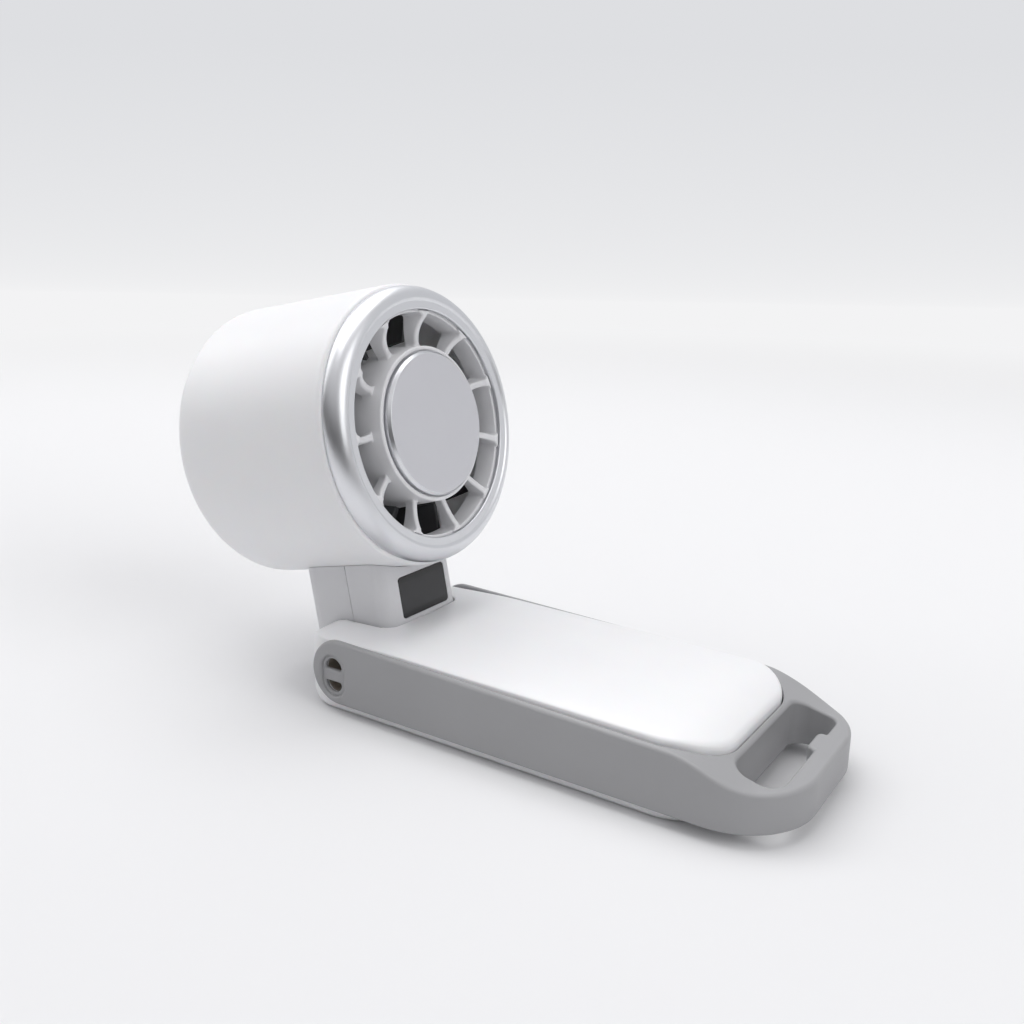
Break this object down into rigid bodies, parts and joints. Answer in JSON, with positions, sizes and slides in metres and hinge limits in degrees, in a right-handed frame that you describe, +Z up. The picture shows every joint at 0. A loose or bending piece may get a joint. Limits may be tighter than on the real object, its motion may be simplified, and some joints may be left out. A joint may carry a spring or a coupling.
{
  "type": "folding hand fan",
  "caption": "Battery hand fan with a cold plate: flat handle with a strap loop, a friction hinge, and a round fan head on a short neck with a small display.",
  "frame": {"origin": "centre of the flat underside of the handle, on the table", "axes": "+X along the handle from the hinge to the strap loop, +Y to the side with the push buttons, +Z up; the fan head stands at the -X end and blows towards +X"},
  "size_m": [0.1496, 0.0652, 0.0945],
  "materials": {
    "white_plastic": "white moulded plastic with a fine satin grain",
    "grey_plastic": "mid grey moulded plastic, satin",
    "light_grey_plastic": "light grey moulded plastic, satin",
    "insert_plastic": "off-white moulded plastic, semi-gloss",
    "dark_plastic": "dark grey moulded plastic",
    "satin_chrome": "satin chrome plating on moulded plastic",
    "plate_aluminium": "fine blasted and clear anodised, with a bright turned chamfer",
    "sink_aluminium": "plain extruded and die cast",
    "dark_window": "smoked clear plastic, polished, over a dark display",
    "display_glass": "dark display, switched off",
    "circuit_board": "green solder mask on glass fibre laminate",
    "battery_wrap": "blue-grey laminated foil pouch",
    "ceramic": "white sintered ceramic",
    "copper_windings": "enamelled copper wire on steel laminations",
    "bearing_bronze": "oiled sintered bronze",
    "steel": "bright plated steel"
  },
  "bodies": {
    "handle": {"side_frame": "grey_plastic", "top_cover": "white_plastic", "bottom_cover": "white_plastic", "battery_cell": "battery_wrap", "main_board": "circuit_board", "usb_socket": "steel", "button_board": "circuit_board", "hinge_pin": "steel", "hinge_washer_near": "steel", "hinge_washer_far": "steel", "cover_screw_1": "steel", "cover_screw_2": "steel", "cover_screw_3": "steel", "cover_screw_4": "steel"},
    "power_key": {"power_button": "white_plastic"},
    "speed_key": {"speed_button": "white_plastic"},
    "head": {"neck_front_half": "light_grey_plastic", "neck_rear_half": "light_grey_plastic", "display_window": "dark_window", "display_panel": "display_glass", "display_board": "circuit_board", "neck_screw_1": "steel", "neck_screw_2": "steel", "drum_shell": "white_plastic", "rear_grille": "insert_plastic", "chrome_ring": "satin_chrome", "guide_vanes": "insert_plastic", "cold_plate": "plate_aluminium", "peltier_module": "ceramic", "heat_sink": "sink_aluminium", "motor_base": "sink_aluminium", "motor_stator": "copper_windings", "bearing_front": "bearing_bronze", "bearing_rear": "bearing_bronze"},
    "fan_wheel": {"impeller": "dark_plastic", "rotor_bell": "steel", "motor_shaft": "steel"}
  },
  "joints": [
    {"name": "head_fold", "type": "hinge", "parent": "handle", "child": "head", "pos_m": [-0.04535, 0, 0.0092], "axis": [0, 1, 0], "range_deg": [-78.5, 0]},
    {"name": "impeller_spin", "type": "hinge", "parent": "head", "child": "fan_wheel", "pos_m": [-0.05556, 0, 0.05937], "axis": [0.9799, 0, 0.1994], "continuous": true},
    {"name": "power_press", "type": "slide", "parent": "handle", "child": "power_key", "axis": [0, -1, 0], "range_m": [0, 0.0004], "stiffness_N_per_m": 1500, "springref_m": -0.0003},
    {"name": "speed_press", "type": "slide", "parent": "handle", "child": "speed_key", "axis": [0, -1, 0], "range_m": [0, 0.0004], "stiffness_N_per_m": 1500, "springref_m": -0.0003}
  ]
}
